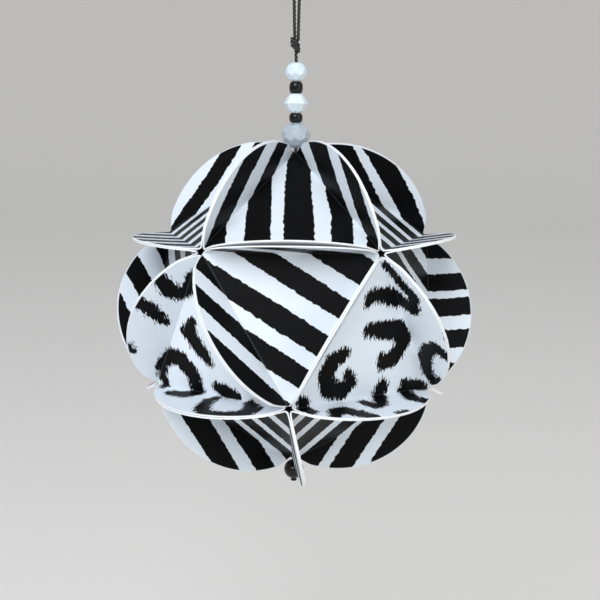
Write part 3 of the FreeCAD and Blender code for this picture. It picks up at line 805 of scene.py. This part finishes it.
@dataclass
class Beads:
    """The beads threaded above the ball, and the stopper bead below it."""

    black_width: float = 4.0
    hole: float = 1.3
    stopper_diameter: float = 6.0
    facet_bevel: float = 0.05

    def lathe(self, name: str, profile: list[tuple[float, float]], steps: int = 48) -> bpy.types.Object:
        """Spin a closed profile about the cord.

        Args:
            name: the piece's name.
            profile: (radius, height) points in millimetres, in order round the section.
            steps: the number of steps in the full turn.

        Returns:
            The bead.
        """
        mesh = bpy.data.meshes.new(name)
        edges = [(k, (k + 1) % len(profile)) for k in range(len(profile))]
        mesh.from_pydata([(r * MM, 0, z * MM) for r, z in profile], edges, [])
        bead = bpy.data.objects.new(name, mesh)
        bpy.context.scene.collection.objects.link(bead)
        activate(bead)
        bpy.ops.object.mode_set(mode="EDIT")
        bpy.ops.mesh.select_all(action="SELECT")
        bpy.ops.mesh.spin(steps=steps, angle=2 * math.pi, center=(0, 0, 0), axis=(0, 0, 1))
        bpy.ops.mesh.select_all(action="SELECT")
        bpy.ops.mesh.remove_doubles(threshold=0.01 * MM)
        bpy.ops.mesh.normals_make_consistent(inside=False)
        bpy.ops.object.mode_set(mode="OBJECT")
        return bead

    def black_bead(self, node: str) -> bpy.types.Object:
        """Model a pressed seed bead: a short tube with fully rounded ends.

        Args:
            node: the solid that it stands for.

        Returns:
            The bead.
        """
        low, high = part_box(node)
        bottom, top = low[2] / MM, high[2] / MM
        middle, half = (bottom + top) / 2, (top - bottom) / 2
        outer, inner = self.black_width / 2, self.hole / 2
        profile = []
        for k in range(15):
            angle = math.pi * k / 14 - math.pi / 2
            shape = math.cos(angle) ** 0.55
            profile.append((inner + 0.25 + (outer - inner - 0.25) * shape, middle + half * math.sin(angle)))
        profile += [(inner, top - 0.2), (inner, bottom + 0.2)]
        return self.lathe(f"glossy_{node}", profile)

    def stopper(self, node: str) -> bpy.types.Object:
        """Model the round stopper bead with its drilled hole.

        Args:
            node: the solid that it stands for.

        Returns:
            The bead.
        """
        low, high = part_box(node)
        middle = (low[2] + high[2]) / 2 / MM
        radius, inner = self.stopper_diameter / 2, self.hole / 2
        limit = math.acos(inner / radius)
        angles = [limit * (k / 16 - 1) for k in range(33)]
        profile = [(radius * math.cos(a), middle + radius * math.sin(a)) for a in angles]
        return self.lathe(f"glossy_{node}", profile)

    def faceted(self, solid: bpy.types.Object) -> bpy.types.Object:
        """Copy a faceted solid and round its facet edges as moulding leaves them.

        Args:
            solid: the node's object.

        Returns:
            The bead.
        """
        bead = bpy.data.objects.new(f"moulded_{solid.name}", solid.data.copy())
        bpy.context.scene.collection.objects.link(bead)
        bead.data.materials.clear()
        activate(bead)
        bpy.ops.object.mode_set(mode="EDIT")
        bpy.ops.mesh.select_all(action="SELECT")
        bpy.ops.mesh.remove_doubles(threshold=0.03 * MM)
        bpy.ops.mesh.dissolve_limited(angle_limit=math.radians(3))
        bpy.ops.object.mode_set(mode="OBJECT")
        apply_modifier(
            bead, "BEVEL", width=self.facet_bevel * MM, segments=1, limit_method="ANGLE",
            angle_limit=math.radians(8), use_clamp_overlap=True,
        )
        return bead

    def build(self, nodes: dict[str, bpy.types.Object], finishes: dict[str, bpy.types.Material]) -> None:
        """Make all six beads.

        Args:
            nodes: the frame's node objects.
            finishes: the materials, by name.
        """
        pieces = {
            "lower_black_bead": self.black_bead("lower_black_bead"),
            "upper_black_bead": self.black_bead("upper_black_bead"),
            "stopper_bead": self.stopper("stopper_bead"),
        }
        for node in ("large_frosted_bead", "middle_frosted_bead", "top_frosted_bead"):
            pieces[node] = self.faceted(nodes[node])
        for node, bead in pieces.items():
            black = node not in finishes
            bead.data.materials.append(finishes["black_glass"] if black else finishes[node])
            smooth(bead, 40 if black else 12)
            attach(bead, ROOT)
            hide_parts(node)
            LOG.info("%s: %d faces", bead.name, len(bead.data.polygons))


@dataclass
class Cord:
    """The plied cord: the hanging loop above the beads and the knot that closes it."""

    diameter: float = 1.0
    hook_radius: float = 3.0
    loop_height: float = 45.0
    knot_lead: float = 2.4
    knot_height: float = 4.7
    knot_turns: float = 3.1
    knot_tilt_deg: float = 36.0
    knot_reach: float = 1.3
    plies: int = 3
    lay_length: float = 3.6
    free_length: float = 101.0

    def route(self) -> list[tuple[float, float, float]]:
        """List the free cord's points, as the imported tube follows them.

        Returns:
            The points in millimetres, from the top bead round the loop and back to the knot.
        """
        side = 0.55 * self.diameter
        top = self.diameter / 2 - self.loop_height
        bottom = top - self.knot_height
        climb = [(side, 0.0), (1.3 * side, 14.0), (4.0 * side, 33.0)]
        climb += [(self.hook_radius, 42.0), (0.55 * self.hook_radius, 45.0)]
        start = [(0.0, 0.0, bottom - self.knot_lead), (0.0, 0.0, bottom + 0.2 * self.knot_height)]
        up = [(-x, 0.0, top + z) for x, z in climb]
        down = [(x, 0.0, top + z) for x, z in reversed(climb)]
        return start + up + down[:-1] + [(side, 0.0, top - 0.2 * self.knot_height)]

    def centreline(self, points: list[tuple[float, float, float]]) -> np.ndarray:
        """Run a smooth spline through the route and read its line.

        Args:
            points: the route in millimetres.

        Returns:
            Points along the spline in millimetres, a fifth of a millimetre or so apart.
        """
        curve = bpy.data.curves.new("cord_line", "CURVE")
        curve.dimensions = "3D"
        curve.resolution_u = 24
        spline = curve.splines.new("NURBS")
        spline.points.add(len(points) - 1)
        for point, place in zip(spline.points, points):
            point.co = (place[0] * MM, place[1] * MM, place[2] * MM, 1.0)
        spline.order_u = 3
        spline.use_endpoint_u = True
        holder = bpy.data.objects.new("cord_line", curve)
        bpy.context.scene.collection.objects.link(holder)
        line = bpy.data.meshes.new_from_object(holder)
        path = np.array([v.co[:] for v in line.vertices]) / MM
        bpy.data.objects.remove(holder)
        steps = np.concatenate([[0], np.cumsum(np.linalg.norm(np.diff(path, axis=0), axis=1))])
        even = np.linspace(0, steps[-1], int(steps[-1] / 0.22) + 1)
        return np.stack([np.interp(even, steps, path[:, k]) for k in range(3)], axis=1)

    def lay(self, name: str, path: np.ndarray, sides: int = 8) -> bpy.types.Object:
        """Lay the plies round a centreline.

        Args:
            name: the piece's name.
            path: the centreline in millimetres.
            sides: the sides of each ply's section.

        Returns:
            The plied cord as one mesh.
        """
        ply_radius = self.diameter / 2 / (1 + 2 / math.sqrt(3))
        offset = self.diameter / 2 - ply_radius
        ply_radius *= 1.04
        steps = np.concatenate([[0], np.cumsum(np.linalg.norm(np.diff(path, axis=0), axis=1))])
        tangent = np.gradient(path, axis=0)
        tangent /= np.linalg.norm(tangent, axis=1)[:, None]
        across = [np.array([0.0, 1.0, 0.0])]
        for t in tangent:
            moved = across[-1] - t * (across[-1] @ t)
            across.append(moved / np.linalg.norm(moved))
        across = np.array(across[1:])
        other = np.cross(tangent, across)
        verts, faces = [], []
        for ply in range(self.plies):
            base = len(verts)
            twist = 2 * math.pi * (steps / self.lay_length + ply / self.plies)
            middle = path + offset * (np.cos(twist)[:, None] * across + np.sin(twist)[:, None] * other)
            for k in range(len(path)):
                for s in range(sides):
                    a = twist[k] + 2 * math.pi * s / sides
                    verts.append(middle[k] + ply_radius * (math.cos(a) * across[k] + math.sin(a) * other[k]))
            for k in range(len(path) - 1):
                for s in range(sides):
                    n = (s + 1) % sides
                    low, high = base + k * sides, base + (k + 1) * sides
                    faces.append((low + s, low + n, high + n, high + s))
            faces.append(tuple(base + s for s in reversed(range(sides))))
            faces.append(tuple(base + (len(path) - 1) * sides + s for s in range(sides)))
        return mesh_piece(name, np.array(verts), faces)

    def knot_path(self) -> np.ndarray:
        """Follow the knot's wraps: turns of the cord that lean over one another.

        Returns:
            The wraps' centreline in millimetres.
        """
        top = self.diameter / 2 - self.loop_height
        share = np.linspace(0, 1, 300)
        tilt = math.radians(self.knot_tilt_deg)
        angle = 2 * math.pi * (self.knot_turns * share + 0.1)
        radius = self.knot_reach * (0.6 + 0.4 * np.sin(math.pi * share) ** 0.4)
        middle_x = -0.4 + 0.2 * share
        middle_z = top - 0.6 - (self.knot_height - 1.75) * share
        across = radius * np.cos(angle)
        x = middle_x + across * math.cos(tilt)
        z = middle_z - across * math.sin(tilt)
        return np.stack([x, 0.95 * radius * np.sin(angle), z], axis=1)

    def build(self, nodes: dict[str, bpy.types.Object], finishes: dict[str, bpy.types.Material]) -> None:
        """Make the loop and its knot, and dress the cord inside the beads.

        Args:
            nodes: the frame's node objects.
            finishes: the materials, by name.
        """
        path = self.centreline(self.route())
        loop = self.lay("plied_hanging_loop", path)
        knot = self.lay("plied_loop_knot", self.knot_path())
        for piece, node in ((loop, "hanging_loop"), (knot, "loop_knot")):
            piece.data.materials.append(finishes["cord"])
            smooth(piece, 60)
            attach(piece, ROOT)
            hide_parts(node)
            LOG.info("%s: %d faces", piece.name, len(piece.data.polygons))
        length = float(np.linalg.norm(np.diff(path, axis=0), axis=1).sum())
        LOG.info("cord line: %.1f mm", length)
        for slot in nodes["inner_cord"].material_slots:
            slot.material = finishes["cord"]


@dataclass
class Studio:
    """The camera at the photograph's place, a pale sweep below the ball and soft light."""

    ball_centre: Vector
    ball_radius: float
    distance_radii: float = 7.083
    elevation_deg: float = 9.48
    azimuth_deg: float = 1.95
    roll_deg: float = 0.35
    aim_right_radii: float = 0.0336
    aim_up_radii: float = 0.0506
    focal_pixels: float = 1099.7
    frame_pixels: float = 600.0
    sensor_mm: float = 36.0
    floor_drop: float = 0.17
    sweep_radius: float = 3.0

    def camera(self) -> None:
        """Place the camera as the photograph was taken."""
        lift, turn = math.radians(self.elevation_deg), math.radians(self.azimuth_deg)
        back = Vector((math.sin(turn) * math.cos(lift), -math.cos(turn) * math.cos(lift), math.sin(lift)))
        right = Vector((math.cos(turn), math.sin(turn), 0))
        up = back.cross(right)
        place = self.ball_centre + back * self.distance_radii * self.ball_radius
        aim = self.ball_centre + (right * self.aim_right_radii + up * self.aim_up_radii) * self.ball_radius
        back = (place - aim).normalized()
        right = up.cross(back).normalized()
        up = back.cross(right)
        roll = math.radians(self.roll_deg)
        right, up = right * math.cos(roll) + up * math.sin(roll), up * math.cos(roll) - right * math.sin(roll)
        data = bpy.data.cameras.new("camera")
        data.lens = self.focal_pixels / self.frame_pixels * self.sensor_mm
        data.sensor_width = self.sensor_mm
        data.clip_start = 0.01
        data.clip_end = 50
        camera = bpy.data.objects.new("camera", data)
        bpy.context.scene.collection.objects.link(camera)
        turned = Matrix((right, up, back)).transposed().to_4x4()
        camera.matrix_world = Matrix.Translation(place) @ turned
        bpy.context.scene.camera = camera

    def sweep(self) -> None:
        """Make the pale floor, which curves up all round into its backdrop."""
        deselect()
        bpy.ops.mesh.primitive_circle_add(
            vertices=96, radius=self.sweep_radius, fill_type="NGON",
            location=(0, 0, self.ball_centre.z - self.ball_radius - self.floor_drop),
        )
        floor = bpy.context.object
        floor.name = "studio_sweep"
        bpy.ops.object.mode_set(mode="EDIT")
        bpy.ops.mesh.select_all(action="SELECT")
        steps, bend = 12, 1.2
        before = (0.0, 0.0)
        for k in range(1, steps + 1):
            angle = math.pi / 2 * k / steps
            at = (bend * math.sin(angle), bend * (1 - math.cos(angle)))
            widen = (self.sweep_radius + at[0]) / (self.sweep_radius + before[0])
            bpy.ops.mesh.extrude_region_move(TRANSFORM_OT_translate={"value": (0, 0, at[1] - before[1])})
            bpy.ops.transform.resize(value=(widen, widen, 1))
            before = at
        bpy.ops.mesh.delete(type="ONLY_FACE")
        bpy.ops.object.mode_set(mode="OBJECT")
        smooth(floor, 60)
        material, shader = new_material("matt_studio_paper")
        shader.inputs["Base Color"].default_value = linear("f3f1ed")
        shader.inputs["Roughness"].default_value = 0.9
        floor.data.materials.append(material)

    def lamp(
        self, name: str, place: tuple[float, float, float], size: float, watts: float, tint: str
    ) -> None:
        """Add one soft area lamp that faces the ball.

        Args:
            name: the lamp's name.
            place: its place from the ball's centre, in metres.
            size: the side of its square, in metres.
            watts: its power.
            tint: its colour as sRGB hex.
        """
        data = bpy.data.lights.new(name, "AREA")
        data.size = size
        data.energy = watts
        data.color = linear(tint)[:3]
        lamp = bpy.data.objects.new(name, data)
        bpy.context.scene.collection.objects.link(lamp)
        lamp.location = self.ball_centre + Vector(place)
        lamp.rotation_euler = (self.ball_centre - lamp.location).to_track_quat("-Z", "Y").to_euler()

    def light(self) -> None:
        """Light the ball softly, mostly from above and in front."""
        world = bpy.data.worlds.new("soft_room")
        bpy.context.scene.world = world
        world.use_nodes = True
        background = world.node_tree.nodes["Background"]
        background.inputs["Color"].default_value = linear("f4f6fa")
        background.inputs["Strength"].default_value = 0.58
        self.lamp("window", (-0.3, -1.05, 0.75), 0.9, 13.0, "f6f9ff")
        self.lamp("fill", (1.0, -0.7, 0.25), 1.0, 3.2, "fffaf2")

    def build(self) -> None:
        """Make the camera, the sweep and the lights."""
        self.camera()
        self.sweep()
        self.light()
        bpy.context.scene.view_settings.view_transform = "Standard"


def finishes() -> dict[str, bpy.types.Material]:
    """Make each finish once.

    Returns:
        The materials, by name.
    """
    return {
        "zebra": PrintedCard("offset_printed_zebra_card", 0.75).build(),
        "leopard": PrintedCard("offset_printed_leopard_card", 0.4, 1.25).build(),
        "back": PlainCard("uncoated_card_back", ("eef1f4", "e2e6ea")).build(),
        "core": PlainCard("punched_card_core", ("f4f6f8", "e6eaee")).build(),
        "large_frosted_bead": FrostedResin("frosted_grey_resin", ("94a3ae", "bfcad2")).build(),
        "middle_frosted_bead": FrostedResin("frosted_white_resin", ("cfe0e9", "e9f3f8")).build(),
        "top_frosted_bead": FrostedResin("frosted_pale_resin", ("c6dae5", "e6f1f7")).build(),
        "black_glass": PolishedGlass().build(),
        "cord": WaxedCord().build(),
    }


def main() -> None:
    """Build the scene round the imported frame."""
    logging.basicConfig(level=logging.INFO, format="%(message)s")
    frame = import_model()
    low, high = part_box("large_frosted_bead")
    bead_half_width = 4.0
    fin_rise = math.radians(61.7)
    seat = 0.1
    ball = Ball(Vector((0, 0, 0)))
    top_vertex = (low[2] + high[2]) / 2 / MM - bead_half_width / math.sin(fin_rise) - seat
    ball.centre = Vector((0, 0, (top_vertex - ball.radius) * MM))
    Studio(ball.centre, ball.radius * MM).build()
    made = finishes()
    Cord().build(frame["nodes"], made)
    Beads().build(frame["nodes"], made)
    ball.build(made)


if __name__ == "__main__":
    main()
